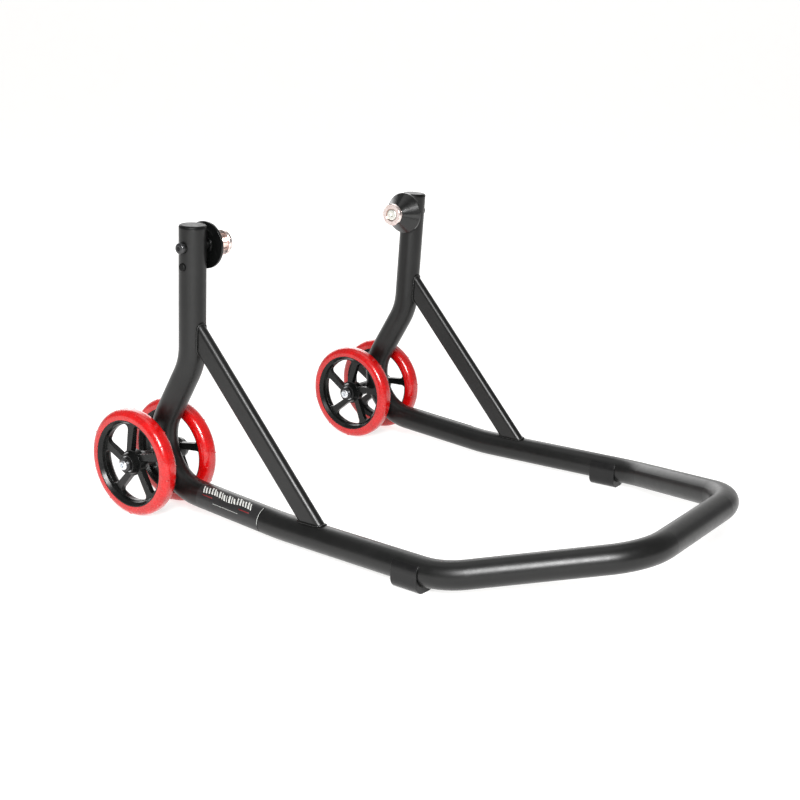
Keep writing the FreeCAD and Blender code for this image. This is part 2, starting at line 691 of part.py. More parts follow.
def add_wheel(name, side, way, phase):
    """One wheel: its core, tyre, two bearings and the sleeve between them."""
    y, z = axle_place()
    x = "%d*(rail_x+%d*wheel_offset)" % (side, way)
    turn = Rotation(X_AXIS, phase)

    half = [
        ("lip_width/2", "lip_od/2"), ("lip_width/2", "lip_od/2-lip_edge"),
        ("lip_width/2-dish_inset", "barrel_id/2+dish_step"),
        ("spoke_rim_width/2", "barrel_id/2"), ("spoke_hub_width/2", "hub_root/2"),
        ("hub_width/2", "hub_od/2"), ("hub_width/2", "bearing_od/2"),
        ("bearing_face-bearing_width", "bearing_od/2"),
        ("bearing_face-bearing_width", "bearing_od/2-bearing_shoulder"),
    ]
    seat = [
        ("-lip_width/2+lip_thick", "lip_od/2"), ("-lip_width/2+lip_thick", "seat_od/2"),
        ("lip_width/2-lip_thick", "seat_od/2"), ("lip_width/2-lip_thick", "lip_od/2"),
    ]
    core = turned("core_" + name, half + [("-(%s)" % h, v) for h, v in reversed(half)] + seat)
    add_window(core)

    side_x = "tyre_width/2"
    lip_x = "(lip_width/2-lip_thick)"
    tyre = turned("tyre_" + name, [
        ("-" + side_x, "wheel_od/2"), ("-" + side_x, "lip_od/2"), ("-" + lip_x, "lip_od/2"),
        ("-" + lip_x, "seat_od/2"), (lip_x, "seat_od/2"), (lip_x, "lip_od/2"),
        (side_x, "lip_od/2"), (side_x, "wheel_od/2"),
    ])
    edges = circles_at(tyre.Shape, value("wheel_od/2"), value(side_x))
    edges += circles_at(tyre.Shape, value("wheel_od/2"), -value(side_x))
    block = tyre.Tip
    tread = tyre.newObject("PartDesign::Fillet", tyre.Name + "_tread")
    tread.Base = (block, edges)
    bind(tread, "Radius", "tyre_round")
    tyre.Tip = tread

    low = "bearing_face-bearing_width"
    race_x = "bearing_face-bearing_width/2"

    def ring_pair(label, inner, outer):
        rings = []
        for way_name, sign in (("plus", 1), ("minus", -1)):
            body = new_body("%s_%s_%s" % (label, name, way_name))
            ring_sketch = sketch_on(body, "XY_Plane", label + "_section")
            ends = ["%d*(%s)" % (sign, low), "%d*bearing_face" % sign]
            outline(ring_sketch, [(ends[0], inner), (ends[1], inner), (ends[1], outer), (ends[0], outer)])
            turn_ring = body.newObject("PartDesign::Revolution", label + "_turn")
            turn_ring.Profile = ring_sketch
            turn_ring.ReferenceAxis = (ring_sketch, ["H_Axis"])
            turn_ring.Angle = 360
            groove = doc.addObject("Part::Torus", label + "_groove")
            bind(groove, "Radius1", "ball_pitch/2")
            bind(groove, "Radius2", "groove_round")
            put(groove, "%d*(%s)" % (sign, race_x), "0", "0", Z_TO_X)
            rings.append(cut("%s_grooved_%s" % (label, way_name), body, groove))
        group = doc.addObject("Part::Compound", "%s_pair_%s" % (label, name))
        group.Links = rings
        return group

    outer_rings = ring_pair("outer_ring", "outer_race/2", "bearing_od/2")
    inner_rings = ring_pair("inner_ring", "bearing_bore/2", "inner_race/2")

    balls = []
    for sign in (1, -1):
        for index in range(int(value("ball_count"))):
            ball = doc.addObject("Part::Sphere", "ball")
            bind(ball, "Radius", "ball_od/2")
            angle = "(%d*360/ball_count)" % index
            put(ball, "%d*(%s)" % (sign, race_x), "ball_pitch/2*cos(%s)" % angle,
                "ball_pitch/2*sin(%s)" % angle)
            balls.append(ball)
    ball_group = doc.addObject("Part::Compound", "balls_" + name)
    ball_group.Links = balls

    seal_outlines = []
    for sign in (1, -1):
        for start in (low + "+seal_inset", "bearing_face-seal_thick-seal_inset"):
            near = "%d*(%s)" % (sign, start)
            far = "%d*(%s+seal_thick)" % (sign, start)
            root = "inner_race/2+seal_lip"
            seal_outlines.append([(near, root), (far, root), (far, "outer_race/2"), (near, "outer_race/2")])
    seals = turned("seals_" + name, *seal_outlines)

    sleeve = turned("sleeve_" + name, [
        ("-(%s)" % low, "axle_bush_bore/2"), (low, "axle_bush_bore/2"),
        (low, "spacer_od/2"), ("-(%s)" % low, "spacer_od/2"),
    ])

    labels = {
        "wheel_core_": core, "tyre_": tyre, "bearing_outer_rings_": outer_rings,
        "bearing_inner_rings_": inner_rings, "bearing_balls_": ball_group, "bearing_seals_": seals,
        "bearing_sleeve_": sleeve,
    }
    for label, piece in labels.items():
        put(piece, x, y, z, turn)
        keep(piece, label + name)


def rail_turn(side):
    """Rotation from +Y to the level rail's own direction, which spreads towards the handle."""
    start, end = half_path(side)[3:5]
    return Rotation(Y_AXIS, start - end)


def rail_x_at(side, y):
    return "%d*(rail_x+(corner_x-rail_x)*(rail_y-(%s))/(rail_y-corner_y))" % (side, y)


def add_foot(name, side, frame_solid):
    """A plastic saddle that grips the rail from below, up to the bend, and ends in a flat pad."""
    shell = cylinder("foot_shell", "tube_od/2+foot_wall", "foot_length")
    put(shell, "0", "foot_length/2", "0", Z_TO_MINUS_Y)
    pad = doc.addObject("Part::Box", "foot_pad")
    bind(pad, "Length", "foot_pad_width")
    bind(pad, "Width", "foot_length")
    bind(pad, "Height", "rail_z")
    put(pad, "-foot_pad_width/2", "-foot_length/2", "-rail_z")
    doc.recompute()
    long_edges = []
    for index, edge in enumerate(pad.Shape.Edges, start=1):
        middle = edge.CenterOfMass
        if abs(middle.y) < 1e-6 and middle.z < -value("rail_z") + 1e-6:
            long_edges.append((index, value("foot_pad_round"), value("foot_pad_round")))
    rounded = doc.addObject("Part::Fillet", "foot_pad_rounded")
    rounded.Base = pad
    rounded.Edges = long_edges
    rail = cylinder("foot_bore", "tube_od/2+foot_fit", "2*foot_length")
    put(rail, "0", "foot_length", "0", Z_TO_MINUS_Y)
    mouth = cylinder("foot_mouth", "tube_od", "2*foot_length")
    bind(mouth, "Angle", "foot_mouth")
    upwards = Rotation(Y_AXIS, value("foot_mouth") / 2 - 90)
    put(mouth, "0", "foot_length", "0", upwards * Z_TO_MINUS_Y)
    solid = fuse("foot_solid_" + name, [shell, rounded])
    opened = cut("foot_bored_" + name, solid, rail)
    saddle = cut("foot_saddle_" + name, opened, mouth)
    put(saddle, rail_x_at(side, "foot_y"), "foot_y", "rail_z", rail_turn(side))
    keep(cut("foot_" + name, saddle, frame_solid), "foot_" + name)


def add_label(name, side):
    """A thin label stuck round the outer side of the sloping part of the rail."""
    heel, level = half_path(side)[2:4]
    direction = (heel - level).normalize()
    sector = cylinder("label_sector", "tube_od/2+label_fit+label_thick", "label_length")
    bind(sector, "Angle", "label_span")
    inside = cylinder("label_inside", "tube_od/2+label_fit", "2*label_length")
    put(inside, "0", "0", "-label_length/2")
    label = cut("label_" + name, sector, inside)
    slope = "(heel_z-rail_z)/(heel_y-rail_y)"
    start_z = "rail_z+(label_start-rail_y)*" + slope
    upright_side = Rotation(Vector(side, 0, 0), Vector(), direction, "ZXY")
    low = value("label_low") if side < 0 else -value("label_low") - value("label_span")
    spin = Rotation(Z_AXIS, low)
    put(label, "%d*rail_x" % side, "label_start", start_z, upright_side * spin)
    keep(label, "label_" + name)


def write_parts():
    """Check every object, then write each sub-part to a STEP file of its own name."""
    doc.recompute()
    for obj in doc.Objects:
        if "Invalid" in obj.State or "Error" in obj.State:
            raise RuntimeError("%s failed: %s" % (obj.Name, obj.State))
    for obj in nodes:
        if obj.Shape.isNull() or not obj.Shape.isValid():
            raise RuntimeError(obj.Label + ": its shape is empty or invalid")
    os.makedirs("parts", exist_ok=True)
    for obj in nodes:
        obj.Shape.exportStep(os.path.join("parts", obj.Label + ".step"))
        box = obj.Shape.BoundBox
        print("%-32s %2d solids %9.1f mm3  x %.1f..%.1f  y %.1f..%.1f  z %.1f..%.1f" % (
            obj.Label, len(obj.Shape.Solids), obj.Shape.Volume,
            box.XMin, box.XMax, box.YMin, box.YMax, box.ZMin, box.ZMax))


frame_solid = add_frame()
for side_name, side_sign in SIDES.items():
    add_brace(side_name, side_sign, frame_solid)
    add_cap(side_name, side_sign)
    add_plugs(side_name, side_sign)
    add_support(side_name, side_sign)
    add_axle(side_name, side_sign, frame_solid)
    add_foot(side_name, side_sign, frame_solid)
    add_label(side_name, side_sign)
for wheel_name, (wheel_side, wheel_way, wheel_phase) in WHEELS.items():
    add_wheel(wheel_name, wheel_side, wheel_way, wheel_phase)
write_parts()
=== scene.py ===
import json
import math

import bmesh
import bpy
from mathutils import Matrix, Vector
from mathutils.bvhtree import BVHTree


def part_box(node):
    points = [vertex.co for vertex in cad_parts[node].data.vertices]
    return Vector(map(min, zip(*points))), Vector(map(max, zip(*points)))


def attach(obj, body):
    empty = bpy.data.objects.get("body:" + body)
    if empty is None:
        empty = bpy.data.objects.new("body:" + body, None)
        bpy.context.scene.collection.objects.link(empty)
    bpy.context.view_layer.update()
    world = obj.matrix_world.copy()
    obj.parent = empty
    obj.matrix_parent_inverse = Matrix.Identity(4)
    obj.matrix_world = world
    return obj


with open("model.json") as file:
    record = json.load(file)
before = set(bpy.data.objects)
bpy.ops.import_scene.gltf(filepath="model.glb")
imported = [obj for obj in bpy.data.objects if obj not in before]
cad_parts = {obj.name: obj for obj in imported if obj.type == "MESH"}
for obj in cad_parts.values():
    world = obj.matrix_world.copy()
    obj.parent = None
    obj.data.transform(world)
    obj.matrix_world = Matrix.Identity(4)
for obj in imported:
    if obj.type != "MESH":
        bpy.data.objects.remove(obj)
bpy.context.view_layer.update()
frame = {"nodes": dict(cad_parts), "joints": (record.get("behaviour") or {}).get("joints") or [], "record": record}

MM = 0.001
SIDES = {"left": -1.0, "right": 1.0}
WHEELS = ("left_outer", "left_inner", "right_inner", "right_outer")

# Sizes of the stand's own parts, in millimetres: the frame tube's radius, the straight part of
# a rail that carries the label, and the centre line of a brace.
TUBE_R = 17.5
HEEL = Vector((0.0, 334.6, 45.0))
LEVEL = Vector((0.0, 83.0, 24.8))
BRACE_TOP = Vector((0.0, 224.0, 255.3))
BRACE_FOOT = Vector((0.0, 18.7, 25.0))
BRACE_X = 233.5
BRACE_WIDE = 14.0
BRACE_DEEP = 30.0
BRACE_CORNER = 6.9
BUSH_R = 10.0
# The label: its handle end, and its outer face above the tube.
RAIL_X = 232.5
LABEL_START = 109.5
LABEL_OUTSIDE = 0.35
# Rounding of a tyre's tread.
TREAD_ROUND = 9.0


# ---------------------------------------------------------------- material building

class Surface:
    """A procedural material around one Principled shader, in the object's own coordinates.

    With a bevel, sharp edges of the solid shade as if rounded by that radius.
    """

    def __init__(self, name, bevel_mm=None):
        self.material = bpy.data.materials.new(name)
        self.material.use_nodes = True
        self.tree = self.material.node_tree
        self.shader = next(n for n in self.tree.nodes if n.type == "BSDF_PRINCIPLED")
        self.place = self.add("ShaderNodeTexCoord").outputs["Object"]
        self.bumps = None
        if bevel_mm:
            bevel = self.add("ShaderNodeBevel", samples=6)
            bevel.inputs["Radius"].default_value = bevel_mm * MM
            self.bumps = bevel.outputs["Normal"]
            self.link(self.bumps, self.shader.inputs["Normal"])

    def add(self, kind, **values):
        node = self.tree.nodes.new(kind)
        for key, value in values.items():
            setattr(node, key, value)
        return node

    def link(self, source, target):
        self.tree.links.new(source, target)

    def fixed(self, **values):
        """Set sockets of the shader by name, with underscores for spaces."""
        for key, value in values.items():
            self.shader.inputs[key.replace("_", " ")].default_value = value
        return self

    def math(self, operation, *terms, clamp=False):
        node = self.add("ShaderNodeMath", operation=operation, use_clamp=clamp)
        for socket, term in zip(node.inputs, terms):
            self.feed(term, socket)
        return node.outputs[0]

    def feed(self, term, socket):
        if isinstance(term, (int, float)):
            socket.default_value = term
        else:
            self.link(term, socket)

    def noise(self, size_mm, detail=2.0, roughness=0.5, distortion=0.0):
        node = self.add("ShaderNodeTexNoise")
        node.inputs["Scale"].default_value = 1.0 / (size_mm * MM)
        node.inputs["Detail"].default_value = detail
        node.inputs["Roughness"].default_value = roughness
        node.inputs["Distortion"].default_value = distortion
        self.link(self.place, node.inputs["Vector"])
        return node.outputs["Fac"]

    def cells(self, size_mm, feature="F1"):
        node = self.add("ShaderNodeTexVoronoi", feature=feature)
        node.inputs["Scale"].default_value = 1.0 / (size_mm * MM)
        self.link(self.place, node.inputs["Vector"])
        return node.outputs["Distance"]

    def spread(self, source, low, high, to_low=0.0, to_high=1.0):
        node = self.add("ShaderNodeMapRange", interpolation_type="SMOOTHSTEP")
        for key, value in (("From Min", low), ("From Max", high), ("To Min", to_low), ("To Max", to_high)):
            node.inputs[key].default_value = value
        self.link(source, node.inputs["Value"])
        return node.outputs["Result"]

    def tones(self, source, *stops):
        """A colour ramp over source: stops are (position, (r, g, b))."""
        ramp = self.add("ShaderNodeValToRGB")
        elements = ramp.color_ramp.elements
        while len(elements) < len(stops):
            elements.new(0.5)
        for element, (position, colour) in zip(elements, stops):
            element.position = position
            element.color = (*colour, 1.0)
        self.link(source, ramp.inputs["Fac"])
        return ramp.outputs["Color"]

    def mix(self, factor, first, second):
        node = self.add("ShaderNodeMix", data_type="RGBA")
        sockets = {s.identifier: s for s in node.inputs}
        self.feed(factor, sockets["Factor_Float"])
        for term, key in ((first, "A_Color"), (second, "B_Color")):
            if isinstance(term, tuple):
                sockets[key].default_value = (*term, 1.0)
            else:
                self.link(term, sockets[key])
        return next(s for s in node.outputs if s.identifier == "Result_Color")

    def colour(self, source):
        self.link(source, self.shader.inputs["Base Color"])
        return self

    def rough(self, source, low, high):
        self.link(self.spread(source, 0.25, 0.75, low, high), self.shader.inputs["Roughness"])
        return self

    def bump(self, height, depth_mm, strength=1.0):
        """Add one layer of relief, of a real depth, over the layers before it."""
        node = self.add("ShaderNodeBump")
        node.inputs["Strength"].default_value = strength
        node.inputs["Distance"].default_value = depth_mm * MM
        self.link(height, node.inputs["Height"])
        if self.bumps is not None:
            self.link(self.bumps, node.inputs["Normal"])
        self.bumps = node.outputs["Normal"]
        self.link(self.bumps, self.shader.inputs["Normal"])
        return self

    def edges(self, radius_mm, gain=6.0):
        """1 on convex and concave edges, 0 on open faces."""
        bevel = self.add("ShaderNodeBevel", samples=6)
        bevel.inputs["Radius"].default_value = radius_mm * MM
        flat = self.add("ShaderNodeNewGeometry").outputs["Normal"]
        dot = self.add("ShaderNodeVectorMath", operation="DOT_PRODUCT")
        self.link(bevel.outputs["Normal"], dot.inputs[0])
        self.link(flat, dot.inputs[1])
        bent = self.math("SUBTRACT", 1.0, dot.outputs["Value"])
        return self.math("MULTIPLY", bent, gain, clamp=True)

    def from_axis(self, y_mm, z_mm):
        """Distance in metres from a line along X."""
        parts = self.add("ShaderNodeSeparateXYZ")
        self.link(self.place, parts.inputs[0])
        dy = self.math("SUBTRACT", parts.outputs["Y"], y_mm * MM)
        dz = self.math("SUBTRACT", parts.outputs["Z"], z_mm * MM)
        square = self.math("ADD", self.math("MULTIPLY", dy, dy), self.math("MULTIPLY", dz, dz))
        return self.math("SQRT", square)


def powder_coat(name, dark, light, rough_low, rough_high, grain_mm=1.3, depth_mm=0.02):
    """Satin black powder coat: orange peel, fine grit, faint clouding and slightly rubbed edges."""
    s = Surface(name, 0.7)
    s.fixed(Specular_IOR_Level=0.40, IOR=1.5)
    cloud = s.noise(38.0, 3.0, 0.55)
    grit = s.noise(0.35, 1.0, 0.5)
    tone = s.tones(cloud, (0.3, dark), (0.72, light))
    rubbed = s.math("MULTIPLY", s.edges(0.9), s.spread(s.noise(5.0, 3.0, 0.6), 0.45, 0.7, 0.0, 0.35))
    s.colour(s.mix(rubbed, tone, (0.035, 0.0355, 0.035)))
    s.rough(s.noise(9.0, 4.0, 0.6), rough_low, rough_high)
    s.bump(s.noise(grain_mm * 2.2, 2.0, 0.5), depth_mm)
    s.bump(grit, depth_mm * 0.3)
    return s.material


def moulded(name, dark, light, rough_low, rough_high, grain_mm=0.8, depth_mm=0.012, specular=0.4,
            bevel_mm=0.6):
    """Moulded black plastic or rubber with an eroded mould grain."""
    s = Surface(name, bevel_mm)
    s.fixed(Specular_IOR_Level=specular, IOR=1.5)
    s.colour(s.tones(s.noise(22.0, 3.0, 0.5), (0.3, dark), (0.75, light)))
    s.rough(s.noise(6.0, 3.0, 0.6), rough_low, rough_high)
    s.bump(s.cells(grain_mm), depth_mm)
    s.bump(s.noise(grain_mm * 6.0, 2.0, 0.5), depth_mm * 1.5)
    return s.material


def turned_metal(name, base, shade, y_mm, z_mm, rough_low, rough_high, pitch_mm=0.45, depth_mm=0.006):
    """Bright metal off a lathe: concentric tool marks about an axis along X, and light handling marks."""
    s = Surface(name, 0.35)
    s.fixed(Metallic=1.0)
    radius = s.from_axis(y_mm, z_mm)
    parts = s.add("ShaderNodeSeparateXYZ")
    s.link(s.place, parts.inputs[0])
    spiral = s.math("ADD", radius, parts.outputs["X"])
    wave = s.math("SINE", s.math("MULTIPLY", spiral, 2.0 * math.pi / (pitch_mm * MM)))
    uneven = s.noise(2.2, 2.0, 0.6)
    s.colour(s.mix(s.spread(uneven, 0.35, 0.7), base, shade))
    s.rough(s.noise(1.6, 4.0, 0.65), rough_low, rough_high)
    s.bump(wave, depth_mm)
    s.bump(s.noise(0.5, 2.0, 0.5), depth_mm * 0.7)
    return s.material


def polyurethane(name):
    """Clear red cast polyurethane: glossy skin, light scattered inside, faint flow lines and dust."""
    s = Surface(name)
    s.fixed(IOR=1.5, Specular_IOR_Level=0.42, Subsurface_Weight=0.3, Subsurface_Scale=0.005,
            Subsurface_Radius=(1.0, 0.10, 0.08), Coat_Weight=0.5, Coat_Roughness=0.11, Coat_IOR=1.5)
    cloud = s.noise(14.0, 4.0, 0.6, 0.4)
    body = s.tones(cloud, (0.28, (0.38, 0.0008, 0.0010)), (0.55, (0.46, 0.0014, 0.0017)), (0.8, (0.53,
                                                                                                 0.003, 0.004)))
    dust = s.spread(s.noise(1.1, 2.0, 0.5), 0.66, 0.8, 0.0, 0.3)
    s.colour(s.mix(dust, body, (0.75, 0.05, 0.045)))
    s.rough(s.noise(4.0, 3.0, 0.6), 0.20, 0.32)
    s.bump(s.noise(7.0, 2.0, 0.5), 0.025)
    s.bump(s.noise(0.9, 1.0, 0.5), 0.004)
    return s.material


def wheel_plastic(name):
    """Glossy glass-filled nylon with sink marks and fine flow grain."""
    s = Surface(name, 0.7)
    s.fixed(IOR=1.5, Specular_IOR_Level=0.26, Coat_Weight=0.04, Coat_Roughness=0.12)
    s.colour(s.tones(s.noise(16.0, 3.0, 0.55), (0.3, (0.0026, 0.0028, 0.0027)), (0.75, (0.0055, 0.0058,
                                                                                        0.0056))))
    s.rough(s.noise(5.0, 4.0, 0.6), 0.2, 0.34)
    s.bump(s.noise(6.0, 2.0, 0.5), 0.05)
    s.bump(s.noise(0.6, 1.0, 0.5), 0.005)
    return s.material


def ground_steel(name):
    s = Surface(name)
    s.fixed(Metallic=1.0)
    s.colour(s.tones(s.noise(1.4, 3.0, 0.6), (0.3, (0.42, 0.43, 0.44)), (0.7, (0.62, 0.63, 0.64))))
    s.rough(s.noise(0.9, 3.0, 0.6), 0.18, 0.34)
    s.bump(s.noise(0.3, 2.0, 0.6), 0.003)
    return s.material


def label_film(name):
    """Thin black film: smooth, glossier than the paint, with a few trapped specks."""
    s = Surface(name)
    s.fixed(IOR=1.48, Specular_IOR_Level=0.45)
    specks = s.spread(s.cells(3.2), 0.05, 0.11, 1.0, 0.0)
    s.colour(s.mix(s.math("MULTIPLY", specks, 0.25), (0.0125, 0.0125, 0.013), (0.07, 0.07, 0.072)))
    s.rough(s.noise(8.0, 3.0, 0.6), 0.3, 0.42)
    s.bump(specks, 0.02)
    s.bump(s.noise(5.0, 2.0, 0.5), 0.02)
    return s.material


def printed(name, base, shade, metallic):
    """Ink of the label's stripes, a little broken where the film is rough."""
    s = Surface(name)
    s.fixed(Metallic=metallic, Specular_IOR_Level=0.4)
    s.colour(s.mix(s.spread(s.noise(0.9, 3.0, 0.6), 0.42, 0.68), base, shade))
    s.rough(s.noise(1.5, 2.0, 0.6), 0.32, 0.5)
    s.bump(s.noise(0.5, 2.0, 0.5), 0.006)
    return s.material


def weld_metal(name):
    """Powder coat pooled over a weld bead: a little glossier than on the tube."""
    s = Surface(name)
    s.fixed(Specular_IOR_Level=0.42)
    s.colour(s.tones(s.noise(4.0, 3.0, 0.6), (0.3, (0.0026, 0.0027, 0.0026)), (0.75, (0.0055, 0.0056,
                                                                                      0.0054))))
    s.rough(s.noise(2.0, 3.0, 0.6), 0.2, 0.36)
    s.bump(s.noise(0.9, 2.0, 0.6), 0.05)
    return s.material


record = frame["record"]
joints = {joint["name"]: joint for joint in frame["joints"]}
support_y, support_z = [value / MM for value in joints["spool_left_spin"]["pos_m"][1:]]
axle_y, axle_z = [value / MM for value in joints["wheel_left_outer_spin"]["pos_m"][1:]]

MATERIALS = {
    "frame_paint": powder_coat("powder_black", (0.0022, 0.0023, 0.0022), (0.0048, 0.0049, 0.0047),
                               0.31, 0.38),
    "welded_steel": powder_coat("powder_bush", (0.0022, 0.0023, 0.0022), (0.0048, 0.0049, 0.0047),
                                0.30, 0.38, 1.0),
    "cap_plastic": moulded("cap_grain", (0.0016, 0.0017, 0.0016), (0.0030, 0.0031, 0.0030), 0.40, 0.50,
                           0.8, 0.010, 0.16),
    "foot_rubber": moulded("foot_grain", (0.0026, 0.0026, 0.0028), (0.0048, 0.0048, 0.0050), 0.30,
                           0.40, 1.1, 0.015, 0.34, 1.2),
    "label_film": label_film("label_black"),
    "cone_plastic": moulded("cone_nylon", (0.0016, 0.0018, 0.0017), (0.0030, 0.0033, 0.0032), 0.18,
                            0.24, 0.5, 0.0010, 0.55),
    "spool_aluminium": turned_metal("spool_turned", (0.90, 0.80, 0.77), (0.78, 0.62, 0.58),
                                    support_y, support_z, 0.16, 0.26, 0.45, 0.0012),
    "nut_steel": turned_metal("nut_bright", (0.95, 0.95, 0.89), (0.82, 0.82, 0.76),
                              support_y, support_z, 0.22, 0.32, 0.3, 0.001),
    "bolt_black": moulded("bolt_oxide", (0.010, 0.010, 0.011), (0.018, 0.018, 0.019), 0.16, 0.26, 0.5,
                          0.004, 0.6),
    "axle_steel": turned_metal("axle_zinc", (0.78, 0.80, 0.83), (0.62, 0.65, 0.69),
                               axle_y, axle_z, 0.2, 0.34, 0.35, 0.003),
    "ring_black": moulded("ring_black", (0.008, 0.008, 0.0082), (0.014, 0.014, 0.0142), 0.26, 0.36,
                          0.4, 0.004),
    "tyre_red": polyurethane("tyre_polyurethane"),
    "wheel_black": wheel_plastic("wheel_nylon"),
    "bearing_steel": ground_steel("bearing_ground"),
    "seal_black": moulded("seal_rubber", (0.008, 0.008, 0.008), (0.013, 0.013, 0.013), 0.45, 0.6, 0.4,
                          0.004),
}

for part in record["subparts"]:
    shown = frame["nodes"][part["node"]]
    shown.data.materials.clear()
    shown.data.materials.append(MATERIALS[part["material_slot"]])


# ---------------------------------------------------------------- small pieces

def add_piece(name, mesh, material, body):
    obj = bpy.data.objects.new(name, mesh)
    bpy.context.scene.collection.objects.link(obj)
    mesh.materials.append(material)
    for polygon in mesh.polygons:
        polygon.use_smooth = True
    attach(obj, body)
    return obj


def mesh_from(name, verts, faces):
    mesh = bpy.data.meshes.new(name)
    mesh.from_pydata([tuple(v) for v in verts], [], faces)
    bm = bmesh.new()
    bm.from_mesh(mesh)
    bmesh.ops.recalc_face_normals(bm, faces=bm.faces)
    bm.to_mesh(mesh)
    bm.free()
    return mesh


def evenly(points, step):
    """The same closed path with points a fixed step apart."""
    chain = points + points[:1]
    lengths = [0.0]
    for a, b in zip(chain, chain[1:]):
        lengths.append(lengths[-1] + (b - a).length)
    count = max(3, round(lengths[-1] / step))
    result = []
    index = 0
    for k in range(count):
        target = lengths[-1] * k / count
        while index < len(lengths) - 2 and lengths[index + 1] < target:
            index += 1
        span = max(lengths[index + 1] - lengths[index], 1e-12)
        result.append(chain[index].lerp(chain[index + 1], (target - lengths[index]) / span))
    return result


def weld_bead(name, path, radius_mm, body, ripple_mm, seed):
    """A laid weld: a round bead along path whose surface steps like overlapping coins."""
    sides = 12
    stations = evenly(path, STATION_MM * MM)
    count = len(stations)
    verts = []
    for k, point in enumerate(stations):
        direction = (stations[(k + 1) % count] - stations[k - 1]).normalized()
        along = k * STATION_MM / ripple_mm
        phase = (along + 0.15 * math.sin(along * 0.9 + seed)) % 1.0
        swell = 0.86 + 0.16 * math.sqrt(max(0.0, 1.0 - (2.0 * phase - 1.0) ** 2))
        swell *= 1.0 + 0.05 * math.sin(along * 0.37 + seed * 2.0)
        across = direction.orthogonal().normalized()
        other = direction.cross(across)
        for s in range(sides):
            angle = 2.0 * math.pi * s / sides
            offset = across * math.cos(angle) + other * math.sin(angle)
            verts.append(point + offset * (radius_mm * MM * swell))
    faces = []
    # Rings start at an arbitrary angle, so each joins the next at its nearest vertex.
    for k in range(count):
        here = k * sides
        there = ((k + 1) % count) * sides
        shift = min(range(sides), key=lambda s: (verts[there + s] - verts[here]).length)
        for s in range(sides):
            faces.append((here + s, here + (s + 1) % sides,
                          there + (s + 1 + shift) % sides, there + (s + shift) % sides))
    return add_piece(name, mesh_from(name, verts, faces), WELD, body)


STATION_MM = 0.32
WELD = weld_metal("weld_painted")


def tree_of(node):
    data = frame["nodes"][node].data
    return BVHTree.FromPolygons([v.co.copy() for v in data.vertices],
                                [tuple(p.vertices) for p in data.polygons])


frame_tree = tree_of("frame_tube")


def section_outline(count):
    """Points and outward directions round the brace's section, (across the stand, in its depth)."""
    half_w, half_d = BRACE_WIDE / 2, BRACE_DEEP / 2
    result = []
    for cx, cd, start in ((1, 1, 0.0), (-1, 1, 0.5), (-1, -1, 1.0), (1, -1, 1.5)):
        centre = Vector((cx * (half_w - BRACE_CORNER), cd * (half_d - BRACE_CORNER)))
        for k in range(count):
            angle = math.pi * (start + 0.5 * k / (count - 1))
            out = Vector((math.cos(angle), math.sin(angle)))
            result.append((centre + out * BRACE_CORNER, out))
    dense = []
    for (point, out), (after, after_out) in zip(result, result[1:] + result[:1]):
        steps = max(1, round((after - point).length / 1.0))
        for k in range(steps):
            dense.append((point.lerp(after, k / steps), out.lerp(after_out, k / steps).normalized()))
    return dense


def add_brace_welds(side_name, sign):
    line = (BRACE_TOP - BRACE_FOOT).normalized()
    across = Vector((1.0, 0.0, 0.0))
    depth = line.cross(across).normalized()
    middle = (BRACE_TOP + BRACE_FOOT) / 2 + Vector((sign * BRACE_X, 0.0, 0.0))
    for end, way in (("top", 1.0), ("foot", -1.0)):
        path = []
        for point, out in section_outline(5):
            outward = across * out.x + depth * out.y
            start = middle + across * point.x + depth * point.y
            hit, normal, _, _ = frame_tree.ray_cast(start * MM, line * way)
            if hit is None:
                continue
            path.append(hit + normal * 0.2 * MM + outward * 0.75 * MM)
        weld_bead("weld_brace_%s_%s" % (end, side_name), path, 1.3, "stand", 1.7, sign + way)


def add_bush_weld(side_name, sign):
    """One loop of weld between the axle bush and the back of the bend."""
    low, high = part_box("axle_bush_" + side_name)
    centre = Vector(((low.x + high.x) / 2, axle_y * MM, axle_z * MM))
    hit, _, _, _ = frame_tree.find_nearest(centre)
    towards = (hit - centre)
    towards.x = 0.0
    towards.normalize()
    up = Vector((1.0, 0.0, 0.0)).cross(towards)
    path = []
    for k in range(72):
        t = 2.0 * math.pi * k / 72
        angle = math.radians(37.0) * math.sin(t)
        out = towards * math.cos(angle) + up * math.sin(angle)
        reach = BUSH_R + 0.4 + 0.9 * abs(math.cos(t))
        path.append(centre + out * reach * MM + Vector((13.5 * MM * math.cos(t), 0.0, 0.0)))
    weld_bead("weld_axle_bush_" + side_name, path, 1.9, "stand", 2.0, 3.0 * sign)


